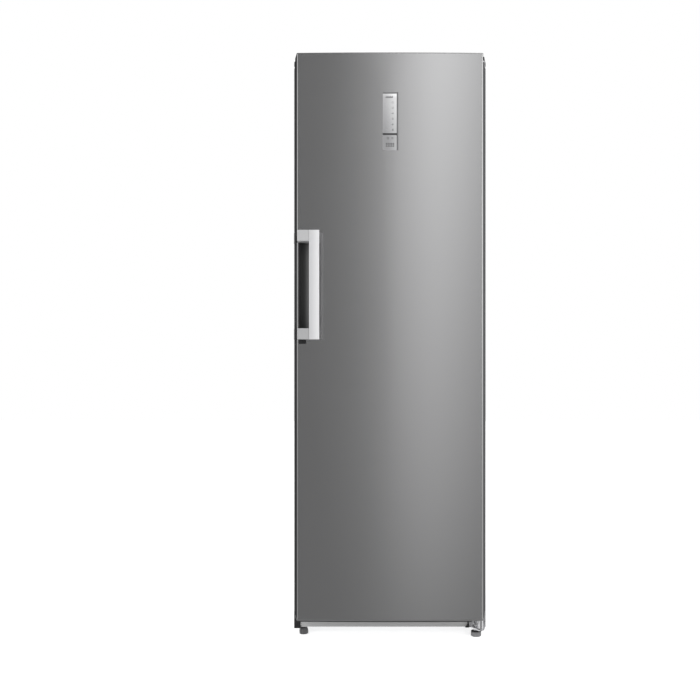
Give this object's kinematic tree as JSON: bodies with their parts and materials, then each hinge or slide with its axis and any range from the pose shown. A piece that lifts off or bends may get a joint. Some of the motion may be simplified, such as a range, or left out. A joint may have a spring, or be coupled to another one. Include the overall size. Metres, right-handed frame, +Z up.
{
  "type": "single door refrigerator",
  "caption": "Tall free-standing refrigerator with one brushed steel door, an upright bar handle, a narrow upright display, and shelves, drawers and door bins inside.",
  "frame": {"origin": "on the floor under the middle of the whole machine, handle and rear spacers included", "axes": "+Z up, -Y out of the door's front, +X towards the hinge side"},
  "size_m": [0.595, 0.694, 1.79],
  "materials": {
    "skin": "fine upright brushing, satin clear coat",
    "cabinet_paint": "satin grey powder coat",
    "galvanised": "dull galvanised sheet",
    "rail_paint": "light grey paint",
    "black_plastic": "fine moulded grain",
    "white_plastic": "smooth vacuum-formed sheet",
    "foam": "rigid insulating foam",
    "steel": "bright zinc plated",
    "handle": "satin anodised",
    "bracket": "silver paint",
    "glass": "clear toughened glass",
    "clear": "clear moulded plastic",
    "display_glass": "silver-tinted polished window",
    "touch": "satin silver keypad film",
    "rubber": "soft black rubber",
    "gasket": "soft grey vinyl",
    "black_metal": "black enamel",
    "copper": "drawn copper",
    "aluminium": "plain mill finish",
    "grey_plastic": "moulded grey plastic"
  },
  "bodies": {
    "cabinet": {"cabinet_shell": "cabinet_paint", "back_panel": "galvanised", "bottom_pan": "galvanised", "cabinet_foam": "foam", "inner_liner": "white_plastic", "top_trim": "black_plastic", "front_rail": "rail_paint", "corner_cap": "black_plastic", "base_tray": "galvanised", "upper_hinge": "steel", "lower_hinge": "steel", "hinge_pins": "steel", "case_screws": "steel", "glass_shelf_1": "glass", "glass_shelf_2": "glass", "glass_shelf_3": "glass", "glass_shelf_4": "glass", "crisper_cover": "glass", "shelf_trims": "white_plastic", "rear_duct": "white_plastic", "evaporator": "aluminium", "fan_motor": "black_metal", "lamp": "clear", "compressor": "black_metal", "compressor_mounts": "rubber", "relay_cover": "black_plastic", "drip_tray": "grey_plastic", "condenser_coil": "black_metal", "condenser_wires": "black_metal", "condenser_clips": "black_plastic", "refrigerant_pipes": "copper", "cord_gland": "rubber", "roller_forks": "steel"},
    "door": {"door_skin": "skin", "door_top_cap": "grey_plastic", "door_bottom_cap": "grey_plastic", "door_foam": "foam", "door_liner": "white_plastic", "door_gasket": "gasket", "handle_bar": "handle", "handle_brackets": "bracket", "handle_side_caps": "black_plastic", "handle_grip_cup": "black_plastic", "display_frame": "black_plastic", "display_window": "display_glass", "touch_panel": "touch", "hinge_bushes": "grey_plastic", "bottle_bin": "clear", "lower_door_bin": "clear", "upper_door_bin": "clear", "dairy_bin": "clear"},
    "left_foot": {"front_foot_left": "black_plastic"},
    "right_foot": {"front_foot_right": "grey_plastic"},
    "left_roller": {"rear_roller_left": "grey_plastic"},
    "right_roller": {"rear_roller_right": "grey_plastic"},
    "cooling_fan": {"evaporator_fan": "grey_plastic"},
    "left_crisper": {"crisper_left": "clear"},
    "right_crisper": {"crisper_right": "clear"},
    "chiller": {"chill_drawer": "clear"},
    "flap": {"dairy_flap": "clear"}
  },
  "joints": [
    {"name": "door_hinge", "type": "hinge", "parent": "cabinet", "child": "door", "pos_m": [0.279, -0.27, 0.9], "axis": [0, 0, 1], "range_deg": [0, 115]},
    {"name": "left_foot_screw", "type": "slide", "parent": "cabinet", "child": "left_foot", "axis": [0, 0, 1], "range_m": [-0.015, 0]},
    {"name": "right_foot_screw", "type": "slide", "parent": "cabinet", "child": "right_foot", "axis": [0, 0, 1], "range_m": [-0.015, 0]},
    {"name": "left_roller_spin", "type": "hinge", "parent": "cabinet", "child": "left_roller", "pos_m": [-0.2375, 0.281, 0.015], "axis": [1, 0, 0], "continuous": true},
    {"name": "right_roller_spin", "type": "hinge", "parent": "cabinet", "child": "right_roller", "pos_m": [0.2375, 0.281, 0.015], "axis": [1, 0, 0], "continuous": true},
    {"name": "fan_spin", "type": "hinge", "parent": "cabinet", "child": "cooling_fan", "pos_m": [0, 0.233, 0.76], "axis": [0, 1, 0], "continuous": true},
    {"name": "left_crisper_slide", "type": "slide", "parent": "cabinet", "child": "left_crisper", "axis": [0, -1, 0], "range_m": [0, 0.02]},
    {"name": "right_crisper_slide", "type": "slide", "parent": "cabinet", "child": "right_crisper", "axis": [0, -1, 0], "range_m": [0, 0.02]},
    {"name": "chill_drawer_slide", "type": "slide", "parent": "cabinet", "child": "chiller", "axis": [0, -1, 0], "range_m": [0, 0.08]},
    {"name": "dairy_flap_hinge", "type": "hinge", "parent": "door", "child": "flap", "pos_m": [0, -0.2308, 1.418], "axis": [1, 0, 0], "range_deg": [0, 80]}
  ]
}
